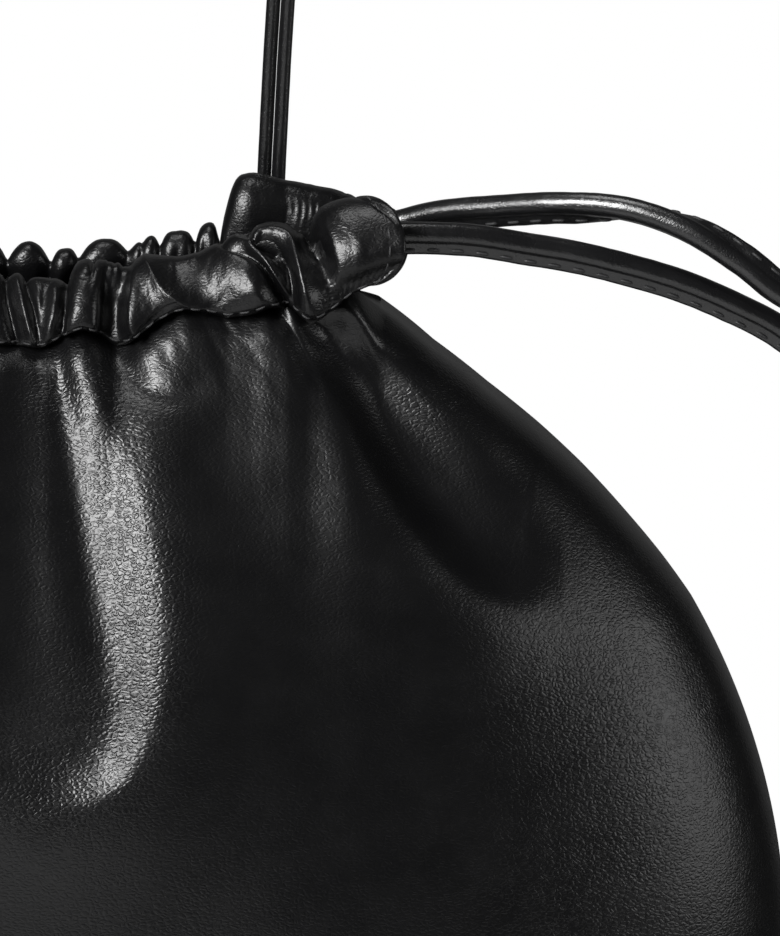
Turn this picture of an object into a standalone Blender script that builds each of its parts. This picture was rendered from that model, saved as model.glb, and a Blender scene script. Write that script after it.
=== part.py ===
"""Drawstring shoulder pouch of thin soft leather, hanging by a strap of two strands.

The frame's origin is under the top of the strap, where a hand or a hook holds it. +X is the
pouch's right side as seen from the front, +Y runs to the back and +Z up. Heights are counted
from the stitch line under the casings, which lies NECK_DROP below the origin.
"""

import bpy
import numpy as np

# Body
HALF_WIDTH = 0.154  # at the widest line
HALF_DEPTH = 0.057  # from the side seams to the front at the widest line
UPPER_HEIGHT = 0.128  # widest line up to the stitch line
LOWER_HEIGHT = 0.126  # widest line down to the bottom seam
BOTTOM_HALF = 0.030  # half of the straight stretch of the bottom seam
OUTLINE_POWER = 2.4  # of the lower outline's rounding, where 2 is an ellipse
DEPTH_POWER = 2.2  # the same for the depth below the widest line
LEATHER = 0.0014
SEAM_CLEAR = 0.0004  # each panel's edge to the plane of the seams

# Mouth
NECK_HALF = 0.077  # half-width at the upper ends of the side seams
NECK_DEPTH = 0.013  # from the plane of the seams to each casing's middle
EDGE_DEPTH = 0.0158  # from that plane to the stitch line, where panel and casing meet
SEAM_RISE = 0.004  # upper ends of the side seams above the stitch line
FOLD_START = 0.0066  # the folds have their full depth this far below the casing
MOUTH_AT = 0.0725  # middle of the casings' open ends to each side
END_TURN = 0.80  # how far the ends turn in: run to the side for each step outwards
TURN_FROM = 0.70  # share of MOUTH_AT where that turn begins
CASING_HEIGHT = 0.0135  # gathered stretch, stitch line to top
CASING_DEPTH = 0.0110  # gathered stretch, front to back
CASING_LEATHER = 0.0012
CASING_CLEAR = 0.0010  # panel's upper edge under its casing

# Cords and strap
NECK_DROP = 0.257  # underside of the strap's top down to the stitch line
DRAWCORD = 0.0048
STRAND = 0.0026
CORD_CLEAR = 0.0008  # between the ends of the drawcord's two pieces
STRAND_CLEAR = 0.0005  # between the strap's two strands
TAB_CLEAR = 0.0008  # tab to panel and to strands
TAB_WIDTH = 0.016
TAB_HEIGHT = 0.022
TAB_TOP = -0.010  # tab's upper edge, from the stitch line
TAB_AT = 0.0497  # middle of each tab to each side
TAB_LEATHER = 0.0012
TAB_SLOPE = 1.9  # steepness of the tab's flanks on both sides of the strands

COLUMNS = 26  # faces across a panel
UPPER_ROWS = 11
LOWER_ROWS = 7
GATHER_FACES = 4  # faces along each gather of a casing
AROUND = 8  # faces round a casing
GATHER_BASE = 0.22  # the creases lie this share of half the casing's depth inside its plain form

# Gathers along the mouth, from left to right, each a rounded fold between two creases. start: left
# crease, as a share of MOUTH_AT (the next row's start is the right one); bulge: how far it stands out
# of its casing, as a share of half the casing's depth; lean: how far its top leans right, as a share
# of MOUTH_AT; reach: how far it runs down the panel, as a share of UPPER_HEIGHT.
FRONT_GATHERS = [
    dict(start=-1.00, bulge=0.05, lean=0.00, reach=0.10),
    dict(start=-0.80, bulge=0.45, lean=0.04, reach=0.16),
    dict(start=-0.64, bulge=0.30, lean=0.02, reach=0.20),
    dict(start=-0.45, bulge=0.40, lean=-0.02, reach=0.08),
    dict(start=-0.36, bulge=0.45, lean=0.02, reach=0.22),
    dict(start=-0.24, bulge=0.35, lean=0.00, reach=0.08),
    dict(start=-0.13, bulge=0.45, lean=-0.02, reach=0.14),
    dict(start=-0.02, bulge=0.50, lean=0.02, reach=0.10),
    dict(start=0.10, bulge=0.45, lean=0.00, reach=0.30),
    dict(start=0.205, bulge=0.05, lean=0.00, reach=0.05),
    dict(start=0.26, bulge=0.45, lean=0.02, reach=0.12),
    dict(start=0.33, bulge=0.35, lean=-0.02, reach=0.20),
    dict(start=0.66, bulge=0.45, lean=-0.05, reach=0.14),
    dict(start=0.81, bulge=0.05, lean=0.00, reach=0.10),
    dict(start=1.00, bulge=0.00, lean=0.00, reach=0.10),
]
BACK_GATHERS = [
    dict(start=-1.00, bulge=0.10, lean=0.00, reach=0.10),
    dict(start=-0.82, bulge=0.30, lean=0.00, reach=0.20),
    dict(start=-0.52, bulge=0.45, lean=-0.02, reach=0.10),
    dict(start=-0.41, bulge=0.50, lean=0.02, reach=0.16),
    dict(start=-0.28, bulge=0.45, lean=0.00, reach=0.08),
    dict(start=-0.18, bulge=0.50, lean=0.02, reach=0.14),
    dict(start=-0.05, bulge=0.50, lean=0.00, reach=0.12),
    dict(start=0.07, bulge=0.45, lean=-0.01, reach=0.10),
    dict(start=0.15, bulge=0.50, lean=0.01, reach=0.20),
    dict(start=0.27, bulge=0.45, lean=0.02, reach=0.08),
    dict(start=0.35, bulge=0.45, lean=0.00, reach=0.14),
    dict(start=0.45, bulge=0.40, lean=0.00, reach=0.08),
    dict(start=0.52, bulge=0.20, lean=0.02, reach=0.26),
    dict(start=0.80, bulge=0.25, lean=0.00, reach=0.10),
    dict(start=1.00, bulge=0.00, lean=0.00, reach=0.10),
]
GATHER_ON_PANEL = 0.0055  # a gather of bulge 1 stands out this far at the panel's upper edge

# Hollows in the panels, each along a line from its upper to its lower end. x0, x1 and the half-widths
# half0, half1: shares of HALF_WIDTH; h0, h1, from the stitch line: shares of UPPER_HEIGHT; depth and
# the rims that stand up on its left and right: shares of HALF_DEPTH.
FRONT_HOLLOWS = [
    dict(x0=0.000, h0=-0.02, x1=0.050, h1=-0.50, half0=0.045, half1=0.105, depth=0.170,
         rim_left=0.080, rim_right=0.110),
    dict(x0=0.400, h0=0.04, x1=0.640, h1=-0.240, half0=0.036, half1=0.130, depth=0.210,
         rim_left=0.110, rim_right=0.0),
    dict(x0=-0.390, h0=0.04, x1=-0.600, h1=-0.275, half0=0.038, half1=0.120, depth=0.190,
         rim_left=0.0, rim_right=0.100),
    dict(x0=-0.210, h0=-0.03, x1=-0.300, h1=-0.360, half0=0.040, half1=0.075, depth=0.060,
         rim_left=0.020, rim_right=0.015),
]
BACK_HOLLOWS = [
    dict(x0=0.000, h0=-0.02, x1=-0.030, h1=-0.420, half0=0.055, half1=0.105, depth=0.110,
         rim_left=0.040, rim_right=0.040),
    dict(x0=0.440, h0=-0.10, x1=0.590, h1=-0.330, half0=0.040, half1=0.095, depth=0.090,
         rim_left=0.035, rim_right=0.0),
    dict(x0=-0.440, h0=-0.10, x1=-0.570, h1=-0.300, half0=0.040, half1=0.095, depth=0.090,
         rim_left=0.0, rim_right=0.035),
]

# Sections of the casings, the same to both sides. at: share of MOUTH_AT; low, top: heights of the
# stitch line and of the top, shares of CASING_HEIGHT; deep: share of CASING_DEPTH.
FRONT_SECTIONS = [
    dict(at=0.00, low=0.00, top=1.00, deep=1.00),
    dict(at=0.30, low=0.00, top=1.02, deep=1.00),
    dict(at=0.42, low=0.14, top=1.20, deep=1.02),
    dict(at=0.56, low=0.24, top=1.33, deep=1.10),
    dict(at=0.68, low=0.36, top=1.40, deep=1.24),
    dict(at=0.76, low=0.43, top=1.42, deep=1.08),
    dict(at=0.83, low=0.50, top=1.90, deep=1.45),
    dict(at=0.91, low=0.56, top=1.98, deep=1.56),
    dict(at=1.00, low=0.60, top=1.96, deep=1.56),
]
BACK_SECTIONS = [
    dict(at=0.00, low=0.00, top=1.00, deep=1.00),
    dict(at=0.44, low=0.03, top=1.06, deep=1.04),
    dict(at=0.58, low=0.14, top=2.02, deep=1.30),
    dict(at=0.80, low=0.30, top=1.80, deep=1.42),
    dict(at=1.00, low=0.36, top=1.78, deep=1.52),
]

# Routes of the cords, x, y and the height from the stitch line, in metres, chosen by hand
LOOP_ROUTE = [
    (0.0700, -0.0130, 0.0186), (0.0760, -0.0130, 0.0196), (0.0894, -0.0120, 0.0191),
    (0.1002, -0.0110, 0.0173), (0.1108, -0.0105, 0.0154), (0.1216, -0.0100, 0.0127),
    (0.1322, -0.0095, 0.0094), (0.1430, -0.0090, 0.0047), (0.1516, -0.0085, 0.0000),
    (0.1590, -0.0085, -0.0062), (0.1640, -0.0090, -0.0150), (0.1660, -0.0100, -0.0265),
    (0.1668, -0.0112, -0.0370), (0.1712, -0.0125, -0.0466), (0.1800, -0.0133, -0.0490),
    (0.1872, -0.0138, -0.0420), (0.1888, -0.0140, -0.0300), (0.1852, -0.0143, -0.0180),
    (0.1775, -0.0145, -0.0078), (0.1652, -0.0147, 0.0013), (0.1518, -0.0145, 0.0073),
    (0.1430, -0.0135, 0.0139), (0.1322, -0.0110, 0.0203), (0.1204, -0.0070, 0.0238),
    (0.1076, -0.0020, 0.0240), (0.0948, 0.0040, 0.0225), (0.0840, 0.0090, 0.0208),
    (0.0760, 0.0124, 0.0184), (0.0700, 0.0129, 0.0166),
]
RUN_ROUTE = [
    (0.0700, -0.0130, 0.0186), (0.0630, -0.0134, 0.0172), (0.0530, -0.0141, 0.0128),
    (0.0430, -0.0144, 0.0092), (0.0200, -0.0144, 0.0063), (-0.0200, -0.0144, 0.0063),
    (-0.0430, -0.0144, 0.0092), (-0.0530, -0.0141, 0.0128), (-0.0630, -0.0134, 0.0165),
    (-0.0700, -0.0130, 0.0180), (-0.0780, -0.0128, 0.0182), (-0.0868, -0.0092, 0.0176),
    (-0.0900, 0.0000, 0.0166), (-0.0868, 0.0092, 0.0152), (-0.0780, 0.0128, 0.0144),
    (-0.0700, 0.0130, 0.0144), (-0.0560, 0.0136, 0.0150), (-0.0470, 0.0142, 0.0138),
    (-0.0390, 0.0144, 0.0096), (-0.0300, 0.0145, 0.0067), (-0.0150, 0.0145, 0.0062),
    (0.0150, 0.0145, 0.0062), (0.0300, 0.0145, 0.0067), (0.0390, 0.0144, 0.0092),
    (0.0500, 0.0140, 0.0120), (0.0620, 0.0134, 0.0146), (0.0700, 0.0129, 0.0166),
]
STRAP_ROUTE = [  # the inner strand's right half, from its hidden end up to the top
    (0.0485, 0.0386, -0.0290), (0.0484, 0.0351, -0.0215), (0.0483, 0.0312, -0.0140),
    (0.0482, 0.0280, -0.0075), (0.0482, 0.0261, -0.0010), (0.0482, 0.0252, 0.0060),
    (0.0483, 0.0244, 0.0180), (0.0487, 0.0228, 0.0300),
    (0.0507, 0.0200, 0.0640), (0.0540, 0.0168, 0.1000), (0.0570, 0.0132, 0.1380),
    (0.0572, 0.0096, 0.1750), (0.0530, 0.0062, 0.2060), (0.0425, 0.0034, 0.2330),
    (0.0240, 0.0010, 0.2520), (0.0000, 0.0000, 0.2583),
]

NECK_Z = -NECK_DROP
LOOK = {
    "panel": ((0.012, 0.012, 0.013), 0.42),
    "casing": ((0.013, 0.013, 0.014), 0.38),
    "cord": ((0.016, 0.016, 0.017), 0.34),
}


def between(at, rows, column):
    """A column of a table of sections, read at any share of the way along and eased between rows."""
    stops = [row["at"] for row in rows]
    values = np.array([row[column] for row in rows])
    span = np.clip(np.interp(at, stops, np.arange(len(stops))), 0, len(stops) - 1)
    low = np.minimum(span.astype(int), len(stops) - 2)
    share = span - low
    share = share * share * (3 - 2 * share)
    return values[low] * (1 - share) + values[low + 1] * share


def gathered(x, gathers, lift):
    """How far the casing's gathers stand out at x: rounded between creases that lean with the lift."""
    total = np.zeros(np.broadcast(x, lift).shape)
    for row, after in zip(gathers, gathers[1:]):
        low, high = (each["start"] * MOUTH_AT for each in (row, after))
        leaning = x - row["lean"] * MOUTH_AT * lift
        across = np.clip((2 * leaning - low - high) / (high - low), -1, 1)
        total = np.maximum(total, row["bulge"] * np.sqrt(1 - across**2))
    return total


def spread(x, gathers, below):
    """How far the gathers stand out on the panel, each fading by its own reach under the casing."""
    total = np.zeros(x.shape)
    for row, after in zip(gathers, gathers[1:]):
        low, high = (each["start"] * NECK_HALF for each in (row, after))
        across = (2 * x - low - high) / (high - low)
        fade = np.exp(-below / (row["reach"] * UPPER_HEIGHT))
        total = total + row["bulge"] * fade * np.exp(-(1.3 * across) ** 2)
    return total


def hollowed(x, h, hollows):
    """Height of the hollows and their rims over the plain panel, at x and the height h."""
    total = np.zeros_like(x)
    for row in hollows:
        ax, ah = row["x0"] * HALF_WIDTH, row["h0"] * UPPER_HEIGHT
        dx = row["x1"] * HALF_WIDTH - ax
        dh = row["h1"] * UPPER_HEIGHT - ah
        along = np.clip(((x - ax) * dx + (h - ah) * dh) / (dx * dx + dh * dh), 0, 1)
        half = HALF_WIDTH * (row["half0"] + (row["half1"] - row["half0"]) * along)
        off = np.hypot(x - ax - dx * along, h - ah - dh * along) / half
        side = np.clip((x - ax - dx * along) / half, -1, 1) / 2 + 0.5
        rim = row["rim_left"] * (1 - side) + row["rim_right"] * side
        start = np.clip(0.35 + along * 3, 0, 1)
        bowl = np.exp(-((off / 0.70) ** 2))
        crest = np.exp(-(((off - 1.30) / 0.60) ** 2))
        total = total + HALF_DEPTH * start * (rim * crest - row["depth"] * bowl)
    return total


def casing_bottom(x, sections):
    return CASING_HEIGHT * between(np.abs(x) / MOUTH_AT, sections, "low")


def panel_points(turn, level, side, sections, gathers, hollows):
    """Points of a panel's outer face.

    turn goes from -1 at the left seam to 1 at the right one, level from 1 at the casing over 0 at
    the widest line to -1 at the bottom seam; side is -1 for the front and 1 for the back.
    """
    angle = turn * np.pi / 2
    up = np.clip(level, 0, 1)
    down = np.clip(-level, 0, 1) * np.pi / 2
    neck_wide = 1 - (NECK_HALF / HALF_WIDTH) ** 2
    neck_deep = 1 - (EDGE_DEPTH / HALF_DEPTH) ** 2
    half = HALF_WIDTH * np.sqrt(1 - neck_wide * up**2)
    half = half - (HALF_WIDTH - BOTTOM_HALF) * (1 - np.cos(down) ** (2 / OUTLINE_POWER))
    deep = HALF_DEPTH * np.sqrt(1 - neck_deep * up**2) * np.cos(down) ** (2 / DEPTH_POWER)
    x = half * np.sin(angle)
    round_off = np.cos(angle).clip(0, 1)
    edge = casing_bottom(x, sections) - CASING_CLEAR - SEAM_RISE
    rise = SEAM_RISE + edge * round_off**0.5
    h = up * UPPER_HEIGHT + rise * up**3 - UPPER_HEIGHT
    h = h - LOWER_HEIGHT * np.sin(down) ** (2 / OUTLINE_POWER)
    relief = hollowed(x, h, hollows)
    below = UPPER_HEIGHT * (1 - up) + LOWER_HEIGHT * np.sin(down)
    relief = relief + GATHER_ON_PANEL * spread(x, gathers, below)
    fade = round_off**0.6 * np.cos(down) * np.minimum(1, 0.45 + 0.55 * below / FOLD_START)
    y = deep * round_off ** (0.85 - 0.50 * up**4) + relief * fade
    return np.stack([x, side * np.maximum(y, SEAM_CLEAR), NECK_Z + h], -1)


def new_object(name, mesh, look):
    material = bpy.data.materials.new(name)
    material.use_nodes = True
    shader = material.node_tree.nodes["Principled BSDF"]
    colour, rough = LOOK[look]
    shader.inputs["Base Color"].default_value = (*colour, 1)
    shader.inputs["Roughness"].default_value = rough
    mesh.materials.append(material)
    part = bpy.data.objects.new(name, mesh)
    collection.objects.link(part)
    return part


def grid_surface(name, points, closed=False, flip=False):
    """An open surface through a grid of points, closed round its second direction if asked."""
    rows, columns = points.shape[:2]
    index = np.arange(rows * columns).reshape(rows, columns)
    if closed:
        index = np.concatenate([index, index[:, :1]], axis=1)
    faces = np.stack([index[:-1, :-1], index[:-1, 1:], index[1:, 1:], index[1:, :-1]], -1)
    faces = faces.reshape(-1, 4)
    if flip:
        faces = faces[:, ::-1]
    mesh = bpy.data.meshes.new(name)
    mesh.from_pydata(points.reshape(-1, 3).tolist(), [], faces.tolist())
    mesh.shade_smooth()
    return mesh


def solidify(part, wall, offset):
    shell = part.modifiers.new("wall", "SOLIDIFY")
    shell.thickness = wall
    shell.offset = offset
    return part


def panel(name, side, sections, gathers, hollows):
    upper = np.sin(np.linspace(1, 0, UPPER_ROWS + 1) * np.pi / 2)
    lower = -np.linspace(0, 1, LOWER_ROWS + 1)[1:]
    turn, level = np.meshgrid(np.linspace(-1, 1, COLUMNS + 1), np.concatenate([upper, lower]))
    points = panel_points(turn, level, side, sections, gathers, hollows)
    mesh = grid_surface(name, points, flip=side < 0)
    return solidify(new_object(name, mesh, "panel"), LEATHER, -1)


def casing(name, side, sections, gathers):
    """Gathered tube: upright sections that bulge with the gathers, except along the stitched bottom.

    Towards its open ends the tube turns in, so its outer side runs further than its inner one.
    """
    creases = [row["start"] * MOUTH_AT for row in gathers]
    count = len(creases) - 1
    x = np.interp(np.linspace(0, count, count * GATHER_FACES + 1), range(count + 1), creases)[:, None]
    angle = np.arange(AROUND) * 2 * np.pi / AROUND
    at = np.abs(x) / MOUTH_AT
    upper = np.clip(0.7 + 0.7 * np.sin(angle), 0, 1)
    bulge = (gathered(x, gathers, np.sin(angle)) - GATHER_BASE * (1 - at**4)) * upper
    deep = CASING_DEPTH / 2 * between(at, sections, "deep") * (1 + bulge)
    low, top = (CASING_HEIGHT * between(at, sections, edge) for edge in ("low", "top"))
    high = (top - low) / 2 * (1 + bulge)
    out = (EDGE_DEPTH - NECK_DEPTH) * (1 - np.sin(angle)) / 2
    y = side * (NECK_DEPTH + out + deep * np.cos(angle))
    z = NECK_Z + (top + low) / 2 + high * np.sin(angle)
    turned = END_TURN * np.clip((at - TURN_FROM) / (1 - TURN_FROM), 0, 1) ** 2 * deep * np.cos(angle)
    points = np.stack([np.broadcast_to(x, y.shape) + np.sign(x) * turned, y, z], -1)
    mesh = grid_surface(name, points, closed=True, flip=side < 0)
    return solidify(new_object(name, mesh, "casing"), CASING_LEATHER, -1)


def smooth_route(route, spacing, before=None, after=None):
    """Evenly spaced points of a smooth curve through the route's own points.

    before and after are the neighbours past its ends, where it goes on as another piece.
    """
    route = np.array(route)
    before = 2 * route[0] - route[1] if before is None else before
    after = 2 * route[-1] - route[-2] if after is None else after
    knots = np.concatenate([[before], route, [after]])
    t = np.linspace(0, 1, 24, endpoint=False)[:, None]
    pieces = []
    for a, b, c, d in zip(knots, knots[1:], knots[2:], knots[3:]):
        pieces.append(
            b + 0.5 * t * (c - a + t * (2 * a - 5 * b + 4 * c - d + t * (3 * (b - c) + d - a)))
        )
    fine = np.concatenate([*pieces, route[-1:]])
    run = np.concatenate([[0], np.cumsum(np.linalg.norm(np.diff(fine, axis=0), axis=1))])
    count = max(2, round(run[-1] / spacing))
    even = np.linspace(0, run[-1], count + 1)
    return np.stack([np.interp(even, run, fine[:, k]) for k in range(3)], -1)


def tube(name, points, diameter):
    curve = bpy.data.curves.new(name, "CURVE")
    curve.dimensions = "3D"
    curve.bevel_depth = diameter / 2
    curve.bevel_resolution = 2
    curve.use_fill_caps = True
    spline = curve.splines.new("POLY")
    spline.points.add(len(points) - 1)
    for point, place in zip(spline.points, points):
        point.co = (*place, 1)
    return new_object(name, curve, "cord")


def drawcord():
    lift = np.array([0, 0, NECK_Z])
    spacing = 2.5 * DRAWCORD
    loop = smooth_route(LOOP_ROUTE, spacing, RUN_ROUTE[1], RUN_ROUTE[-2]) + lift
    run = smooth_route(RUN_ROUTE, spacing, LOOP_ROUTE[1], LOOP_ROUTE[-2]) + lift
    for ends, inner in ((0, 1), (-1, -2)):  # the run stops short of the loop's two ends
        back = run[inner] - run[ends]
        run[ends] += back / np.linalg.norm(back) * CORD_CLEAR
    tube("drawcord_loop", loop, DRAWCORD)
    tube("drawcord_run", run, DRAWCORD)


def strap():
    """Two strands side by side: the outer one is the inner one moved out across its own run."""
    half = np.array(STRAP_ROUTE) + [0, 0, NECK_Z]
    mirrored = half[:-1][::-1] * [-1, 1, 1]
    inner = smooth_route(np.concatenate([half, mirrored]), 3 * STRAND)
    along = np.gradient(inner, axis=0)
    out = np.stack([along[:, 2], np.zeros(len(inner)), -along[:, 0]], -1)
    out = out / np.linalg.norm(out, axis=1)[:, None]
    tube("strap_strand_inner", inner, STRAND)
    tube("strap_strand_outer", inner + out * (STRAND + STRAND_CLEAR), STRAND)


def strap_tab(name, side):
    """Leather tab sewn over the ends of the two strands, arched across them."""
    x = side * TAB_AT + np.linspace(-1, 1, 9) * TAB_WIDTH / 2
    h = np.linspace(TAB_TOP, TAB_TOP - TAB_HEIGHT, 7)
    x, h = np.meshgrid(x, h)
    turn, level = panel_place(x, h, BACK_SECTIONS)
    points = panel_points(turn, level, 1, BACK_SECTIONS, BACK_GATHERS, BACK_HOLLOWS)
    across = np.abs(points[..., 0] - side * TAB_AT) / (TAB_WIDTH / 2)
    arch = np.clip(TAB_SLOPE * (1 - across), 0, 1)
    points[..., 1] += TAB_CLEAR + (STRAND + 2 * TAB_CLEAR) * arch
    mesh = grid_surface(name, points)
    return solidify(new_object(name, mesh, "casing"), TAB_LEATHER, 1)


def panel_place(x, h, sections):
    """Turn and level on a panel of a place above its widest line, given by x and its height."""
    neck_wide = 1 - (NECK_HALF / HALF_WIDTH) ** 2
    edge = casing_bottom(x, sections) - CASING_CLEAR
    up = 1 + h / UPPER_HEIGHT
    for _ in range(8):
        up = 1 + (h - edge * up**3) / UPPER_HEIGHT
    return np.arcsin(x / (HALF_WIDTH * np.sqrt(1 - neck_wide * up**2))) / (np.pi / 2), up


for old in list(bpy.data.objects):
    bpy.data.objects.remove(old)
collection = bpy.data.collections.new("shoulder_pouch")
bpy.context.scene.collection.children.link(collection)

panel("front_panel", -1, FRONT_SECTIONS, FRONT_GATHERS, FRONT_HOLLOWS)
panel("back_panel", 1, BACK_SECTIONS, BACK_GATHERS, BACK_HOLLOWS)
casing("front_casing", -1, FRONT_SECTIONS, FRONT_GATHERS)
casing("back_casing", 1, BACK_SECTIONS, BACK_GATHERS)
drawcord()
strap()
strap_tab("strap_tab_right", 1)
strap_tab("strap_tab_left", -1)
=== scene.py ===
# Black leather drawstring pouch on a strap of two strands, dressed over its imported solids.
# Everything is in metres, +Z up, with the origin under the top of the strap.

import bpy
import numpy as np
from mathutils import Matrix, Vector


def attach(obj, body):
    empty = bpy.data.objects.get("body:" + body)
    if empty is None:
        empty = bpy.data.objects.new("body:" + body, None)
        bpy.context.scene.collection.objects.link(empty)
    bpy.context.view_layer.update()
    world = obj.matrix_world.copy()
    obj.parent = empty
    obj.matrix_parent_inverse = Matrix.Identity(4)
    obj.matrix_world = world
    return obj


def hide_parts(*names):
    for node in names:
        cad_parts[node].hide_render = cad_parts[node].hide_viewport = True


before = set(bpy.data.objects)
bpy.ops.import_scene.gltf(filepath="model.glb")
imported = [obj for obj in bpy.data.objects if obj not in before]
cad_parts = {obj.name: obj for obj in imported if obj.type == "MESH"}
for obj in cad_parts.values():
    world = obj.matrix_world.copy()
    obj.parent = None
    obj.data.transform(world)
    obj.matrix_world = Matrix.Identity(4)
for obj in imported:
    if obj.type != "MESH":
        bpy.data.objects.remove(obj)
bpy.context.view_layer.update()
scene = bpy.context.scene
stitchLine = -0.257  # height of the stitch line under the casings, in the middle

# the picture: a long lens a little above the mouth
cameraSettings = {"distance": 1.55, "elevation": 10.0, "aim": (0.074, 0.0, -0.2866), "frameHeight": 0.1872}

tilt = np.radians(cameraSettings["elevation"])
lens = bpy.data.cameras.new("camera")
lens.lens = lens.sensor_width * cameraSettings["distance"] / cameraSettings["frameHeight"]
lens.clip_end = 20
camera = bpy.data.objects.new("camera", lens)
aim = Vector(cameraSettings["aim"])
camera.location = aim + cameraSettings["distance"] * Vector((0, -np.cos(tilt), np.sin(tilt)))
camera.rotation_euler = (aim - camera.location).to_track_quat("-Z", "Y").to_euler()
scene.collection.objects.link(camera)
scene.camera = camera
print("camera placed")


def smoothStep(low, high, x):
    # 0 below low, 1 above high, eased in between
    t = np.clip((x - low) / (high - low), 0, 1)
    return t * t * (3 - 2 * t)


def curveThrough(points, count, places=3):
    # Catmull-Rom curve through the points, read at evenly spaced places along its length, which the first
    # columns give; the others ride along
    points = np.array(points, float)
    knots = np.concatenate([[2 * points[0] - points[1]], points, [2 * points[-1] - points[-2]]])
    a, b, c, d = (knots[i : len(points) - 1 + i, None, :] for i in range(4))
    t = np.linspace(0, 1, 32, endpoint=False)[None, :, None]
    fine = b + 0.5 * t * (c - a + t * (2 * a - 5 * b + 4 * c - d + t * (3 * (b - c) + d - a)))
    fine = np.concatenate([fine.reshape(-1, points.shape[1]), points[-1:]])
    run = np.concatenate([[0], np.cumsum(np.linalg.norm(np.diff(fine[:, :places], axis=0), axis=1))])
    even = np.linspace(0, run[-1], count)
    return np.stack([np.interp(even, run, column) for column in fine.T], -1), run[-1]


def waves(x, y, size, seed):
    # smooth value noise between -1 and 1: random heights on a lattice of that size, eased in between
    table = np.random.default_rng(seed).uniform(-1, 1, (64, 64))
    px, py = x / size, y / size
    ix, iy = np.floor(px).astype(int), np.floor(py).astype(int)
    tx, ty = smoothStep(0, 1, px - ix), smoothStep(0, 1, py - iy)
    corner = [[table[(ix + i) % 64, (iy + j) % 64] for j in (0, 1)] for i in (0, 1)]
    low = corner[0][0] * (1 - tx) + corner[1][0] * tx
    high = corner[0][1] * (1 - tx) + corner[1][1] * tx
    return low * (1 - ty) + high * ty


def gridMesh(name, points, material, closedRows=False, closedColumns=False, flip=False):
    # one quad between each four neighbours of a grid of points
    rows, columns = points.shape[:2]
    index = np.arange(rows * columns).reshape(rows, columns)
    if closedRows:
        index = np.concatenate([index, index[:1]])
    if closedColumns:
        index = np.concatenate([index, index[:, :1]], axis=1)
    quads = np.stack([index[:-1, :-1], index[:-1, 1:], index[1:, 1:], index[1:, :-1]], -1).reshape(-1, 4)
    if flip:
        quads = quads[:, ::-1]
    return meshPiece(name, points.reshape(-1, 3), quads, material)


def meshPiece(name, points, quads, material):
    # a mesh of quads, shaded smooth, that rides the body root
    mesh = bpy.data.meshes.new(name)
    mesh.vertices.add(len(points))
    mesh.vertices.foreach_set("co", np.ascontiguousarray(points, np.float32).ravel())
    mesh.loops.add(quads.size)
    mesh.loops.foreach_set("vertex_index", np.ascontiguousarray(quads, np.int32).ravel())
    mesh.polygons.add(len(quads))
    mesh.polygons.foreach_set("loop_start", np.arange(0, quads.size, 4, dtype=np.int32))
    mesh.update(calc_edges=True)
    mesh.shade_smooth()
    mesh.materials.append(material)
    piece = bpy.data.objects.new(name, mesh)
    scene.collection.objects.link(piece)
    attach(piece, "root")
    return piece


def setUp(tree, kind, **values):
    # a new node; each value goes to its setting of that name, or else to its input
    node = tree.nodes.new(kind)
    for key, value in values.items():
        if hasattr(node, key):
            setattr(node, key, value)
        else:
            node.inputs[key.replace("_", " ")].default_value = value
    return node


# what all the leathers share: scales of the noises, how far one of them bends the cells' lines, the width of a
# cell's rounded rim, and the stretch of the slow noise that the roughness follows
grainSettings = {"bendScale": 420, "bend": 0.0011, "poreScale": 2600, "waveScale": 95, "cellRim": 0.32,
                 "roughFrom": 0.3, "roughTo": 0.7}


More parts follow.
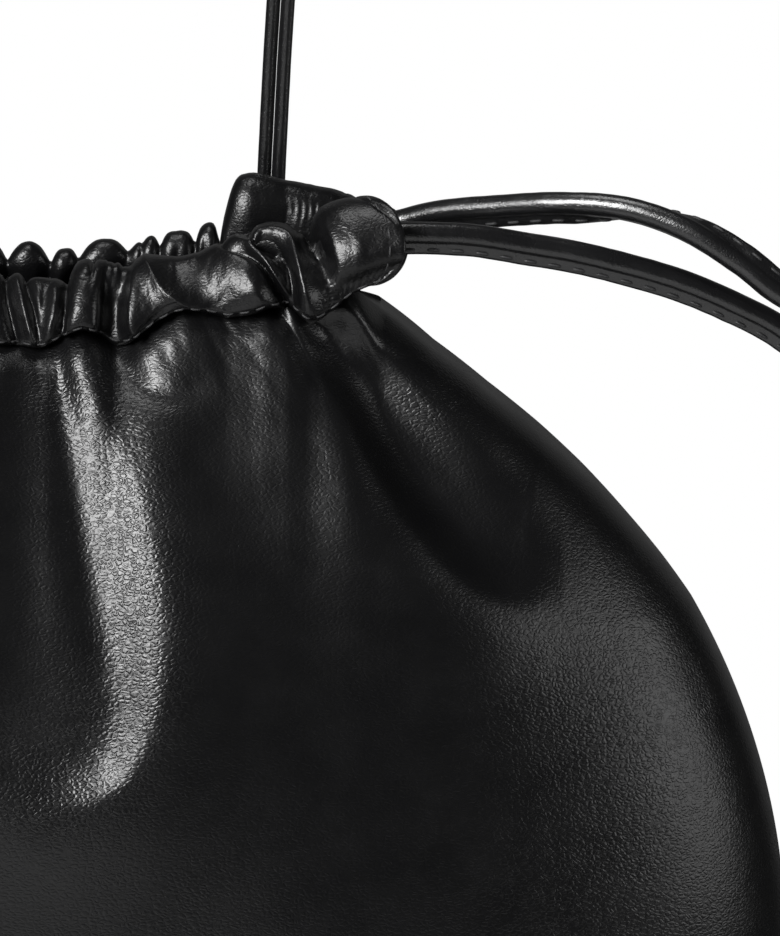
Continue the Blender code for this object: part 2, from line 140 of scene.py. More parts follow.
def leatherMaterial(name, look):
    # black nappa: pebbled cells, fine pores and slow waves as bump, and a roughness that varies a little
    material = bpy.data.materials.new(name)
    material.use_nodes = True
    tree = material.node_tree
    shader = tree.nodes["Principled BSDF"]
    shader.inputs["Base Color"].default_value = (*look["colour"], 1)
    shader.inputs["Specular IOR Level"].default_value = look["gloss"]
    shader.inputs["Coat Weight"].default_value = look["coat"]
    shader.inputs["Coat Roughness"].default_value = look["coatRough"]
    place = setUp(tree, "ShaderNodeTexCoord").outputs["Object"]
    bend = setUp(tree, "ShaderNodeTexNoise", Scale=grainSettings["bendScale"], Detail=2.0)
    tree.links.new(place, bend.inputs["Vector"])
    shift = setUp(tree, "ShaderNodeVectorMath", operation="MULTIPLY_ADD")
    shift.inputs[1].default_value = (grainSettings["bend"],) * 3
    tree.links.new(bend.outputs["Color"], shift.inputs[0])
    tree.links.new(place, shift.inputs[2])
    cells = setUp(tree, "ShaderNodeTexVoronoi", feature="DISTANCE_TO_EDGE", Scale=look["cells"])
    pores = setUp(tree, "ShaderNodeTexNoise", Scale=grainSettings["poreScale"], Detail=3.0, Roughness=0.6)
    slow = setUp(tree, "ShaderNodeTexNoise", Scale=grainSettings["waveScale"], Detail=3.0, Roughness=0.55)
    drawn = setUp(tree, "ShaderNodeVectorMath", operation="MULTIPLY")
    drawn.inputs[1].default_value = look["cellStretch"]
    tree.links.new(shift.outputs["Vector"], drawn.inputs[0])
    tree.links.new(drawn.outputs["Vector"], cells.inputs["Vector"])
    for node in (pores, slow):
        tree.links.new(place, node.inputs["Vector"])
    rounded = setUp(tree, "ShaderNodeMapRange", interpolation_type="SMOOTHSTEP",
                    From_Max=grainSettings["cellRim"])
    tree.links.new(cells.outputs["Distance"], rounded.inputs["Value"])
    normal = None
    for height, depth in ((slow.outputs["Fac"], look["waveDepth"]), (rounded.outputs["Result"], look["cellDepth"]),
                          (pores.outputs["Fac"], look["poreDepth"])):
        bump = setUp(tree, "ShaderNodeBump", Strength=1.0, Distance=depth)
        tree.links.new(height, bump.inputs["Height"])
        if height == rounded.outputs["Result"]:
            # depth of the cells = their full depth * (quiet + (1 - quiet) * the mesh's own "grain")
            grain = setUp(tree, "ShaderNodeAttribute", attribute_name="grain")
            deeper = setUp(tree, "ShaderNodeMath", operation="MULTIPLY_ADD")
            deeper.inputs[1].default_value = depth * (1 - look["quiet"])
            deeper.inputs[2].default_value = depth * look["quiet"]
            tree.links.new(grain.outputs["Fac"], deeper.inputs[0])
            tree.links.new(deeper.outputs["Value"], bump.inputs["Distance"])
        if normal:
            tree.links.new(normal, bump.inputs["Normal"])
        normal = bump.outputs["Normal"]
    tree.links.new(normal, shader.inputs["Normal"])
    rough = setUp(tree, "ShaderNodeMapRange", To_Min=look["rough"][0], To_Max=look["rough"][1])
    rough.inputs["From Min"].default_value = grainSettings["roughFrom"]
    rough.inputs["From Max"].default_value = grainSettings["roughTo"]
    tree.links.new(slow.outputs["Fac"], rough.inputs["Value"])
    tree.links.new(rough.outputs["Result"], shader.inputs["Roughness"])
    return material


leatherLooks = {
    "body": {"colour": (0.0032, 0.0032, 0.0035), "gloss": 0.50, "coat": 0.0, "coatRough": 0.28,
             "rough": (0.29, 0.35), "cells": 1080, "cellStretch": (0.72, 1.0, 1.25), "quiet": 0.40,
             "cellDepth": 0.000058, "poreDepth": 0.000010, "waveDepth": 0.00012},
    "casing": {"colour": (0.0032, 0.0032, 0.0035), "gloss": 0.44, "coat": 0.0, "coatRough": 0.26,
               "rough": (0.29, 0.35), "cells": 1150, "cellStretch": (0.8, 1.0, 1.2), "quiet": 1.0,
               "cellDepth": 0.000024, "poreDepth": 0.000010, "waveDepth": 0.00010},
    "cord": {"colour": (0.0050, 0.0050, 0.0055), "gloss": 0.75, "coat": 0.35, "coatRough": 0.16,
             "rough": (0.26, 0.32), "cells": 1500, "cellStretch": (1.0, 1.0, 1.0), "quiet": 1.0,
             "cellDepth": 0.00002, "poreDepth": 0.00002, "waveDepth": 0.0002},
    "thread": {"colour": (0.024, 0.024, 0.025), "gloss": 0.50, "coat": 0.0, "coatRough": 0.3,
               "rough": (0.5, 0.6), "cells": 4200, "cellStretch": (1.0, 1.0, 1.0), "quiet": 1.0,
               "cellDepth": 0.00003, "poreDepth": 0.00002, "waveDepth": 0.0001},
}
bodyLeather, casingLeather, cordLeather, blackThread = (
    leatherMaterial(key, look) for key, look in leatherLooks.items()
)
print("materials made")


# cords: the drawcord's routes, x, y and height over the stitch line, as in the part's source
loopRoute = [
    (0.0700, -0.0130, 0.0186), (0.0760, -0.0130, 0.0196), (0.0894, -0.0120, 0.0191),
    (0.1002, -0.0110, 0.0173), (0.1108, -0.0105, 0.0154), (0.1216, -0.0100, 0.0127),
    (0.1322, -0.0095, 0.0094), (0.1430, -0.0090, 0.0047), (0.1516, -0.0085, 0.0000),
    (0.1590, -0.0085, -0.0062), (0.1640, -0.0090, -0.0150), (0.1660, -0.0100, -0.0265),
    (0.1668, -0.0112, -0.0370), (0.1712, -0.0125, -0.0466), (0.1800, -0.0133, -0.0490),
    (0.1872, -0.0138, -0.0420), (0.1888, -0.0140, -0.0300), (0.1852, -0.0143, -0.0180),
    (0.1775, -0.0145, -0.0078), (0.1652, -0.0147, 0.0013), (0.1518, -0.0145, 0.0073),
    (0.1430, -0.0135, 0.0139), (0.1322, -0.0110, 0.0203), (0.1204, -0.0070, 0.0238),
    (0.1076, -0.0020, 0.0240), (0.0948, 0.0040, 0.0225), (0.0840, 0.0090, 0.0208),
    (0.0760, 0.0124, 0.0184), (0.0700, 0.0129, 0.0166),
]
runRoute = [
    (0.0700, -0.0130, 0.0186), (0.0630, -0.0134, 0.0172), (0.0530, -0.0141, 0.0128),
    (0.0430, -0.0144, 0.0092), (0.0200, -0.0144, 0.0063), (-0.0200, -0.0144, 0.0063),
    (-0.0430, -0.0144, 0.0092), (-0.0530, -0.0141, 0.0128), (-0.0630, -0.0134, 0.0165),
    (-0.0700, -0.0130, 0.0180), (-0.0780, -0.0128, 0.0182), (-0.0868, -0.0092, 0.0176),
    (-0.0900, 0.0000, 0.0166), (-0.0868, 0.0092, 0.0152), (-0.0780, 0.0128, 0.0144),
    (-0.0700, 0.0130, 0.0144), (-0.0560, 0.0136, 0.0150), (-0.0470, 0.0142, 0.0138),
    (-0.0390, 0.0144, 0.0096), (-0.0300, 0.0145, 0.0067), (-0.0150, 0.0145, 0.0062),
    (0.0150, 0.0145, 0.0062), (0.0300, 0.0145, 0.0067), (0.0390, 0.0144, 0.0092),
    (0.0500, 0.0140, 0.0120), (0.0620, 0.0134, 0.0146), (0.0700, 0.0129, 0.0166),
]
strapRoute = [
    (0.0485, 0.0386, -0.0290), (0.0484, 0.0351, -0.0215), (0.0483, 0.0312, -0.0140),
    (0.0482, 0.0280, -0.0075), (0.0482, 0.0261, -0.0010), (0.0482, 0.0252, 0.0060),
    (0.0483, 0.0244, 0.0180), (0.0487, 0.0228, 0.0300),
    (0.0507, 0.0200, 0.0640), (0.0540, 0.0168, 0.1000), (0.0570, 0.0132, 0.1380),
    (0.0572, 0.0096, 0.1750), (0.0530, 0.0062, 0.2060), (0.0425, 0.0034, 0.2330),
    (0.0240, 0.0010, 0.2520), (0.0000, 0.0000, 0.2583),
]
drawcordSizes = {"diameter": 0.0048, "edge": 0.0041, "edgeFrom": 0.00212, "edgeTaper": 0.333, "stitchAt": 0.0031,
                 "pitch": 0.0048, "stitch": 0.0030, "thread": 0.00060}
strandSizes = {"diameter": 0.0026, "between": 0.0031, "edge": 0.00152, "edgeFrom": 0.00045, "edgeTaper": 0.05}
# both kinds: points round the section, closer together at the sewn edge, the groove beside it and a fine ripple
tubeSettings = {"around": 40, "crowding": 1.8, "groove": 0.05, "grooveAt": 0.72, "grooveWidth": 0.16,
                "ripple": 0.012, "ripplePitch": 0.35}


def ringFrames(path):
    # unit vectors along the path, and two across it: one as near to straight down as it can be, or to +Y where
    # the path itself runs up or down
    along = np.gradient(path, axis=0)
    along = along / np.linalg.norm(along, axis=1)[:, None]
    down = np.array([0.0, 0.0, -1.0]) + 0 * along
    down = down - (down * along).sum(1)[:, None] * along
    flat = np.array([0.0, 1.0, 0.0]) - along[:, 1:2] * along
    share = smoothStep(0.15, 0.45, np.linalg.norm(down, axis=1))[:, None]
    down = down * share + flat * (1 - share)
    down = down / np.linalg.norm(down, axis=1)[:, None]
    return along, down, np.cross(along, down)


def seamedTube(name, path, sizes, turn, material):
    # a round core with a sewn edge whose half-thickness is edgeFrom - edgeTaper * distance from the middle:
    # radius = the core's, or min(edge, edgeFrom / (sin angle + edgeTaper * cos angle)) where that is more, less
    # the groove beside the edge
    around = tubeSettings["around"]
    spread = np.linspace(-1, 1, around, endpoint=False)
    angle = np.pi * np.sign(spread) * np.abs(spread) ** tubeSettings["crowding"]
    taper = np.abs(np.sin(angle)) + sizes["edgeTaper"] * np.cos(angle)
    edge = np.minimum(sizes["edge"], sizes["edgeFrom"] / taper.clip(1e-4))
    edge = np.where(np.abs(angle) < np.pi / 2, edge, 0)
    groove = np.exp(-(((np.abs(angle) - tubeSettings["grooveAt"]) / tubeSettings["grooveWidth"]) ** 2))
    radius = np.maximum(edge, sizes["diameter"] / 2) * (1 - tubeSettings["groove"] * groove)
    _, down, side = ringFrames(path)
    turned = angle[None, :] + turn[:, None]
    steps = np.arange(len(path))[:, None] * tubeSettings["ripplePitch"] + 0 * turned
    ripple = 1 + tubeSettings["ripple"] * waves(steps, turned * 2, 1.0, 3)
    points = path[:, None] + (radius[None, :] * ripple)[..., None] * (
        np.cos(turned)[..., None] * down[:, None] + np.sin(turned)[..., None] * side[:, None])
    points = np.concatenate([np.repeat(path[:1, None], around, 1), points, np.repeat(path[-1:, None], around, 1)])
    piece = gridMesh(name, points, material, closedColumns=True)
    return piece


def stitchRow(name, path, lift, sizes):
    # Stitches along a path: each a bead, bowed up in its middle, whose ends dip into the leather. With t from -1
    # to 1 along a bead, radius = thread / 2 * sqrt(1 - t ** 5) and rise = thread * (0.30 - 0.75 * t ** 4).
    fine, length = curveThrough(np.concatenate([path, lift], 1), 24 * len(path))
    count = max(2, int(length / sizes["pitch"]))
    at = (np.arange(count) + 0.5) / count * length
    run = np.linspace(0, length, len(fine))
    t = np.linspace(-1, 1, 7)
    where = at[:, None] + t[None, :] * sizes["stitch"] / 2
    centre, up = (np.stack([np.interp(where, run, fine[:, k]) for k in ks], -1) for ks in ((0, 1, 2), (3, 4, 5)))
    up = up / np.linalg.norm(up, axis=-1)[..., None]
    along = np.gradient(centre, axis=1)
    along = along / np.linalg.norm(along, axis=-1)[..., None]
    across = np.cross(along, up)
    radius = sizes["thread"] / 2 * np.sqrt(1 - np.abs(t) ** 5)
    rise = sizes["thread"] * (0.30 - 0.75 * t**4)
    angle = np.linspace(0, 2 * np.pi, 7)[:-1]
    ring = np.cos(angle)[:, None] * across[..., None, :] + np.sin(angle)[:, None] * up[..., None, :]
    points = centre[..., None, :] + up[..., None, :] * rise[:, None, None] + ring * radius[:, None, None]
    index = np.arange(points[..., 0].size).reshape(points.shape[:3])
    index = np.concatenate([index, index[..., :1]], axis=2)
    quads = np.stack([index[:, :-1, :-1], index[:, 1:, :-1], index[:, 1:, 1:], index[:, :-1, 1:]], -1)
    piece = meshPiece(name, points.reshape(-1, 3), quads.reshape(-1, 4)[:, ::-1], blackThread)
    return piece


def drawcordPiece(name, node, route, before, after, turnTable):
    # A stretch of the drawcord. The knots before and after it make the two stretches run on in one line.
    # turnTable gives how far the sewn edge is turned from straight down, in degrees, by share of the length.
    knots = np.array([before, *route, after]) + np.array([0, 0, stitchLine])
    path, _ = curveThrough(knots, 900)
    first, last = (np.linalg.norm(path - knot, axis=1).argmin() for knot in (knots[1], knots[-2]))
    path, run = curveThrough(path[first : last + 1], 420)
    turn = np.radians(np.interp(np.linspace(0, 1, len(path)), *zip(*turnTable)))
    piece = seamedTube(name, path, drawcordSizes, turn, cordLeather)
    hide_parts(node)
    _, down, side = ringFrames(path)
    outwards = np.cos(turn)[:, None] * down + np.sin(turn)[:, None] * side
    half = drawcordSizes["edgeFrom"] - drawcordSizes["edgeTaper"] * drawcordSizes["stitchAt"]
    for label, face in (("outer", -1), ("inner", 1)):
        across = face * (-np.sin(turn)[:, None] * down + np.cos(turn)[:, None] * side)
        seam = path + outwards * drawcordSizes["stitchAt"] + across * half
        stitchRow(f"{name}_stitches_{label}", seam[::6], across[::6], drawcordSizes)
    print(name, "length", round(run, 4))


drawcordPiece("drawcord_loop_cord", "drawcord_loop", loopRoute, runRoute[1], runRoute[-2],
              [(0, 0), (0.52, 0), (0.62, -150), (0.74, -175), (0.86, -15), (1, 0)])
drawcordPiece("drawcord_run_cord", "drawcord_run", runRoute, loopRoute[1], loopRoute[-2],
              [(0, 0), (1, 0)])

halfStrap = np.array(strapRoute) + [0, 0, stitchLine]
strapPath, _ = curveThrough(np.concatenate([halfStrap, halfStrap[:-1][::-1] * [-1, 1, 1]]), 520)
strapAlong = np.gradient(strapPath, axis=0)
strapOut = np.stack([strapAlong[:, 2], 0 * strapAlong[:, 0], -strapAlong[:, 0]], -1)
strapOut = strapOut / np.linalg.norm(strapOut, axis=1)[:, None]
for label, shift in (("inner", 0.0), ("outer", strandSizes["between"])):
    strandPath = strapPath + strapOut * shift
    turn = np.full(len(strandPath), -np.pi / 2 if label == "inner" else np.pi / 2)
    strand = seamedTube(f"strap_{label}", strandPath, strandSizes, turn, cordLeather)
    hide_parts(f"strap_strand_{label}")
    print("strap", label, "length", round(np.linalg.norm(np.diff(strandPath, axis=0), axis=1).sum(), 4))
print("cords made")

# Folds, on casings and panels alike: a row for each fold with its power and a path. Every point of a path gives
# x, height over the stitch line, reach to its left and to its right and lift, in millimetres; left and right are
# as they look when the path runs down.


def foldHeight(x, h, power, path):
    # lift * exp(-(distance to the path / reach) ** power), with a reach of its own to each side of the path
    path, _ = curveThrough(path, 8 * len(path), 2)
    path = path * 0.001
    best = np.full(x.shape, 1e9)
    cross, near = np.zeros(x.shape), np.zeros(x.shape + (3,))
    for a, b in zip(path[:-1], path[1:]):
        step = b[:2] - a[:2]
        t = np.clip(((x - a[0]) * step[0] + (h - a[1]) * step[1]) / (step @ step), 0, 1)
        dx, dh = x - a[0] - t * step[0], h - a[1] - t * step[1]
        away = np.hypot(dx, dh)
        closer = away < best
        best = np.where(closer, away, best)
        cross = np.where(closer, step[0] * dh - step[1] * dx, cross)
        near = np.where(closer[..., None], a[2:] + (b[2:] - a[2:]) * t[..., None], near)
    reach = np.where(cross < 0, near[..., 0], near[..., 1])
    return near[..., 2] * np.exp(-((best / reach) ** power))


def relief(x, h, folds):
    # the folds' heights, added up
    return sum(foldHeight(x, h, power, path) for power, path in folds)


def fromTable(x, table, spread=0.0004):
    # the table's line, in millimetres, with its corners rounded a little
    return sum(np.interp((x + k * spread) * 1000, *zip(*table)) for k in (-1.5, -0.5, 0.5, 1.5)) / 4000


# casings: tubes of leather gathered on the drawcord. Creases with a power near 1 leave round lobes between them.
# height of the casings' tops over the stitch line: x and height, in millimetres
frontTop = [(-78, 27), (-70, 26.5), (-58, 24.0), (-50, 20.0), (-42, 17.5), (-34, 16.0), (-26, 14.8),
            (-18, 14.0), (-11, 13.2), (-5, 12.0), (-1, 11.6), (1.8, 11.0), (5.5, 10.8), (9.0, 10.0),
            (10.6, 9.8), (11.4, 12.4), (12.6, 13.8), (14.2, 14.2), (17.3, 14.2), (20.0, 13.9), (22.4, 12.8),
            (23.6, 13.4), (25.4, 13.8), (31.5, 14.9), (36.5, 15.9), (39.6, 17.2), (42.6, 18.4), (45.4, 19.0),
            (47.6, 20.6), (49.7, 21.2), (52.5, 21.0), (54.6, 20.2), (56.6, 19.4), (58.2, 21.0), (59.3, 23.4),
            (62.0, 25.2), (65.0, 26.4), (70.5, 27.2), (78, 27.2)]
frontFolds = [
    (1.3, [(-1.9, 12.5, 0.7, 0.7, -1.6), (-1.2, 6, 0.8, 1.0, -2.6), (0.6, -1, 0.9, 1.4, -2.2)]),
    (1.8, [(-0.2, 12.5, 0.9, 1.0, 0.3), (1.7, 7, 1.0, 1.1, 1.4), (3.2, 2, 1.0, 1.1, 1.5),
           (4.2, -1.5, 1.0, 1.1, 0.8)]),
    (1.3, [(1.6, 12.4, 0.4, 0.6, -1.2), (2.9, 8.5, 0.5, 0.9, -1.8), (4.2, 4, 0.6, 1.2, -1.8),
           (5.0, -1, 0.6, 1.2, -0.8)]),
    (1.8, [(4.8, 10.5, 2.0, 1.0, 0.2), (4.8, 7, 1.4, 0.8, 0.9), (5.0, 3, 1.0, 0.8, 0.6)]),
    (1.8, [(8.0, 9.8, 1.6, 1.4, 0.3), (8.2, 6.5, 1.8, 1.5, 1.8), (7.4, 2.5, 1.8, 2.0, 1.8),
           (6.2, -1.5, 1.4, 2.0, 0.5)]),
    (1.2, [(10.4, 10.5, 0.6, 0.3, -1.2), (10.3, 7, 0.9, 0.3, -2.4), (9.9, 3, 1.2, 0.3, -2.8),
           (9.3, -1.5, 1.6, 0.4, -1.8)]),
    (4.0, [(14.2, 14.0, 3.1, 3.1, 0.3), (14.0, 8, 3.6, 3.3, 1.8), (13.5, 1, 3.9, 3.5, 1.8),
           (13.3, -3, 4.0, 3.6, 1.4)]),
    (1.3, [(15.5, 15.2, 0.5, 0.5, -2.0), (15.4, 12.6, 0.35, 0.35, -0.6), (15.3, 10, 0.3, 0.3, 0.0)]),
    (1.4, [(11.8, 12.0, 0.3, 0.3, -0.3), (13.6, 11.4, 0.3, 0.4, -0.6), (15.2, 11.8, 0.3, 0.3, -0.3)]),
    (2.6, [(19.7, 13.4, 2.0, 2.0, 0.2), (20.1, 10, 2.2, 2.0, -1.6), (19.9, 6, 2.4, 1.8, -3.0),
           (19.8, 1, 2.5, 2.0, -3.0), (20.0, -3, 2.6, 2.4, -2.2)]),
    (1.3, [(17.9, 12.8, 0.35, 1.4, -0.8), (17.5, 8, 0.35, 1.8, -1.5), (17.2, 3, 0.35, 1.8, -1.5),
           (17.3, -2, 0.5, 2.0, -0.8)]),
    (1.4, [(19.6, 14, 0.4, 0.4, -0.5), (19.6, 11.5, 0.4, 0.4, 0.0)]),
    (1.4, [(21.3, 13.6, 0.4, 0.4, -0.5), (20.8, 11.5, 0.4, 0.4, 0.0)]),
    (1.5, [(23.7, 13.6, 0.6, 5, 0.6), (23.0, 9, 0.7, 5, 1.8), (22.7, 4.5, 0.8, 5, 2.4),
           (23.6, 1.2, 0.8, 4, 1.9), (26.5, 0.5, 0.8, 4, 0.8)]),
    (1.1, [(24.4, 14.6, 1.4, 2.4, 0.6), (25.8, 13.2, 1.8, 2.4, 1.6), (28.1, 10.7, 2.0, 2.6, 2.0),
           (30.8, 8.9, 2.0, 2.8, 2.2), (33.5, 7.2, 1.8, 2.8, 2.0), (36.5, 5.6, 1.4, 2.6, 1.4),
           (38.5, 4.4, 1.2, 2.4, 0.4)]),
    (2.2, [(30.5, 15, 2.5, 4, 0.0), (33.5, 11.6, 3, 4.5, -1.2), (38.5, 8, 3.4, 4, -0.8)]),
    (2.0, [(40.8, 17, 6, 3.0, 0.4), (44.3, 14, 6.5, 3.0, 1.9), (47.2, 10.4, 6.5, 2.6, 2.4),
           (48.8, 6.5, 6.5, 2.8, 1.6)]),
    (1.3, [(38.4, 18.6, 0.5, 0.5, -0.2), (42.4, 17.0, 0.5, 0.6, -1.3), (46.0, 16.2, 0.5, 0.8, -1.8),
           (48.6, 14.6, 0.5, 0.8, -2.4), (50.8, 11.6, 0.6, 0.8, -3.2), (52.6, 8.5, 0.7, 0.9, -4.0),
           (54.0, 5.5, 0.8, 1.0, -4.0), (55.6, 2.5, 0.9, 1.2, -3.0), (57, -1, 1, 1.2, -2)]),
    (1.6, [(40.4, 18.4, 0.6, 0.6, 0.2), (43.6, 18.4, 0.6, 0.6, 0.8), (47.0, 17.4, 0.6, 0.6, 1.0),
           (49.8, 15.0, 0.6, 0.6, 1.3), (52.0, 11.8, 0.6, 0.6, 1.4), (53.4, 9.0, 0.6, 0.6, 0.5)]),
    (1.3, [(45.2, 20.2, 0.4, 0.4, -0.6), (47.6, 18.7, 0.4, 0.4, -1.3), (50.6, 16.6, 0.4, 0.5, -1.2),
           (52.8, 13.6, 0.4, 0.5, -0.8)]),
    (2.2, [(49.4, 18.9, 1.5, 1.3, -1.6), (51.2, 17.8, 1.5, 1.3, -2.0), (52.6, 15.6, 1.2, 1.0, -1.6)]),
    (1.6, [(48.6, 18.8, 0.9, 0.9, -1.2), (51.2, 18.2, 0.9, 0.8, -2.1), (53.2, 15.6, 0.8, 0.7, -2.6),
           (54.2, 12, 0.8, 0.7, -2.4), (54.8, 8, 0.8, 0.8, -2.0), (55.6, 4, 0.8, 0.8, -1.4)]),
    (1.8, [(46.6, 18.6, 0.8, 0.8, 0.9), (48.2, 20.2, 0.9, 0.8, 1.1), (50.4, 20.6, 0.9, 0.9, 1.1),
           (52.6, 20.2, 1.0, 0.9, 1.2), (54.2, 19.0, 1.0, 0.9, 1.6), (55.1, 16.6, 1.0, 1.0, 2.2),
           (56.2, 12.6, 1.3, 1.5, 2.8), (57.0, 8.5, 1.8, 2.2, 2.8), (57.6, 4, 2.2, 2.6, 1.8),
           (58.6, 0, 2.4, 3.0, 0.4)]),
    (2.0, [(57.6, 22.0, 1.0, 0.8, -2.0), (58.8, 19.0, 1.3, 1.2, -4.6), (59.4, 16.0, 1.4, 1.4, -4.0),
           (60.0, 13.0, 1.2, 1.4, -1.8), (60.8, 10.5, 1.0, 1.2, 0.0)]),
    (1.4, [(60.5, 22.0, 0.4, 3.5, 0.6), (61.2, 18.0, 0.4, 3.5, 1.2), (61.8, 14.0, 0.6, 3.5, 1.0),
           (61.4, 9, 1.2, 3.5, 0.4)]),
    (1.6, [(60.8, 24.4, 2.0, 2.4, 0.2), (63.4, 22.2, 2.4, 2.4, 0.6), (64.6, 18.5, 2.4, 2.2, 0.6),
           (64.4, 13.5, 2.4, 2.0, 0.3)]),
    (2.0, [(60.5, 7.4, 2.6, 2.6, -0.8), (64, 10.0, 2.8, 2.8, -2.2), (70, 13.4, 2.6, 2.6, -2.4)]),
    (1.3, [(66.6, 28, 0.25, 0.3, -0.45), (69.0, 25.5, 0.25, 0.3, -0.45), (70.9, 21.0, 0.25, 0.3, -0.45),
           (71.2, 16.5, 0.25, 0.3, -0.45), (70.6, 12.0, 0.25, 0.3, -0.45)]),
    # puckers fanning out under the ear's mouth and in the dimple
    *[(1.4, [(62.6 + 1.2 * k, 13.0 + 0.45 * k, 0.3, 0.3, -0.1), (62.9 + 1.0 * k, 10.6 + 0.5 * k, 0.3, 0.3, -0.5),
             (63.2 + 0.85 * k, 8.0 + 0.55 * k, 0.3, 0.3, -0.1)]) for k in range(8)],
    *[(1.4, [(61.4 + 0.35 * k, 11.6 - 1.35 * k, 0.3, 0.3, -0.1), (60.4 + 0.3 * k, 11.2 - 1.35 * k, 0.3, 0.3, -0.5),
             (59.4 + 0.3 * k, 10.9 - 1.35 * k, 0.3, 0.3, -0.1)]) for k in range(8)],
    # left of the photo: creases by x at the stitch line and at the top, with what they cut
    *[(1.3, [(high, 30, 1.3, 1.3, -0.8 * cut), (high, 14, 1.3, 1.3, -cut),
             (low, 4, 1.3, 1.3, -cut), (low, -3, 1.3, 1.3, -0.8 * cut)])
      for low, high, cut in ((-58, -60, 3.0), (-50, -49, 2.6), (-43.5, -41, 2.2), (-34, -35.5, 2.8),
                             (-28, -26, 2.0), (-19, -20.5, 2.6), (-12, -11, 2.0), (-6.5, -7.5, 2.4))],
]
backTop = [(-78, 21), (-70, 21), (-58, 19.8), (-48, 17.4), (-39, 16.0), (-30, 15.2), (-18, 14.8),
           (-2.8, 14.0), (1.4, 14.5), (5.7, 13.4), (8.5, 12.9), (11.4, 13.6), (16.0, 14.9), (20.7, 15.0),
           (25.6, 15.8), (31.0, 16.4), (34.8, 16.6), (37.4, 18.2), (39.2, 18.0), (40.0, 17.4), (41.2, 21.0),
           (42.4, 25.4), (43.6, 27.4), (46.0, 28.0), (49.6, 27.6), (53.6, 26.6), (58.0, 25.8), (62.6, 24.9),
           (65.4, 24.0), (66.8, 22.8), (69.0, 21.6), (78, 21.4)]
backFolds = [  # the photo shows this casing's inner side
    # pleats by x at the stitch line and at the top, reaches and what they cut
    *[(1.4, [(high, 30, left, right, -0.8 * cut), (high, 13, left, right, -cut),
             (low, 5, left, right, -cut), (low, -3, left, right, -0.7 * cut)])
      for low, high, left, right, cut in (
          (-58, -59, 1.6, 1.6, 3.0), (-49, -48, 1.6, 1.6, 2.6), (-40, -41, 1.5, 1.6, 2.8),
          (-32, -31, 1.4, 1.4, 2.4), (-25, -26, 1.4, 1.4, 2.6), (-18, -17, 1.3, 1.4, 2.4),
          (-11, -12, 1.4, 1.4, 2.6), (-2.6, -2.8, 1.3, 1.6, 3.4), (5.0, 5.9, 1.6, 1.0, 3.4),
          (9.2, 11.4, 0.9, 1.7, 2.8), (17.2, 21.2, 1.6, 2.4, 3.0), (22.8, 24.2, 0.5, 0.7, 0.9),
          (27.2, 27.8, 0.8, 0.9, 2.6), (34.6, 34.9, 0.9, 0.6, 3.0), (39.6, 39.8, 0.6, 0.5, 4.0))],
    (1.4, [(31.6, 14.6, 0.4, 0.6, 0.0), (31.2, 12, 0.4, 0.6, -0.9)]),
    (1.3, [(37.0, 17, 0.35, 0.35, 0.0), (36.8, 14, 0.4, 0.4, -0.9), (36.6, 10, 0.4, 0.4, -0.5)]),
    (2.0, [(47.2, 28, 4.5, 5.0, 0.2), (46.0, 20, 3.5, 4.0, 1.5), (45.0, 8, 3.5, 4.0, 1.0)]),
    (1.8, [(53.4, 30, 1.4, 1.4, 0.0), (53.2, 24.5, 1.5, 1.5, -0.3), (53.0, 19, 2.0, 2.0, -1.6),
           (52.6, 10, 2.0, 2.0, -1.2)]),
    # crossing wrinkles on the inner side, and the step beside the mouth
    *[(1.5, [(52.6 + 1.7 * k, 24.6 - 0.35 * k, 0.5, 0.5, 0.0), (53.6 + 1.6 * k, 22.4 - 0.3 * k, 0.5, 0.6, -0.55),
             (53.2 + 1.5 * k, 19.6 - 0.4 * k, 0.5, 0.5, -0.2)]) for k in range(7)],
    *[(1.5, [(52.0 + 1.2 * k, 21.6 - 1.3 * k, 0.5, 0.5, -0.1), (55.5 + 1.2 * k, 22.2 - 1.4 * k, 0.5, 0.5, -0.4),
             (59.0 + 1.2 * k, 21.0 - 1.5 * k, 0.5, 0.5, 0.0)]) for k in range(4)],
    (1.3, [(64.6, 26, 0.5, 0.5, -0.3), (64.8, 16, 0.7, 0.7, -0.5)]),
    (1.3, [(67.6, 26, 0.5, 0.7, -0.5), (67.4, 10, 0.7, 0.9, -1.0)]),
]
# height of the stitch line along the casings: x and height, in millimetres
frontStitch = [(-78, 9.5), (-70, 7.5), (-58, 4.5), (-50, 5.0), (-42, 3.0), (-34, 1.5), (-27, 0.5),
               (-18, -0.5), (-11, -1.0), (-4.6, -1.6), (1.0, -1.8), (5.5, -2.2), (8.6, -0.6), (11.0, 0.9),
               (13.5, 1.7), (16.4, 0.9), (19.8, -2.0), (22.6, -1.4), (25.0, 0.6), (28.0, 3.0), (31.5, 5.0),
               (34.0, 5.6), (38.0, 5.0), (42.0, 3.9), (47.0, 4.6), (50.0, 5.8), (54.0, 6.0), (58.0, 2.8),
               (60.0, 3.4), (62.5, 5.6), (65.1, 8.2), (68.0, 9.8), (70.5, 10.8), (78.0, 12.0)]
backStitch = [(-78, 5.0), (-58, 3.0), (-42, 0.8), (-30, 0.0), (0, 0.0), (30, 0.0), (42, 1.6), (58, 3.4),
              (78, 5.0)]
# half-depth of the casings to each side: x and half-depth, in millimetres
frontDeep = [(-78, 8.4), (-66, 8.4), (-60, 7.6), (-55, 6.6), (-42, 6.0), (-22, 5.4), (0, 5.2), (8, 5.3),
             (11.5, 6.2), (26, 6.2), (32, 6.0), (42, 6.0), (50, 6.4), (55, 6.6), (60, 7.6), (66, 8.4),
             (78, 8.4)]
backDeep = [(-78, 8.2), (-58, 7.6), (-44, 7.0), (-39, 6.1), (-32, 5.6), (0, 5.4), (32, 5.6), (39, 6.1),
            (44, 7.0), (58, 7.6), (78, 8.2)]
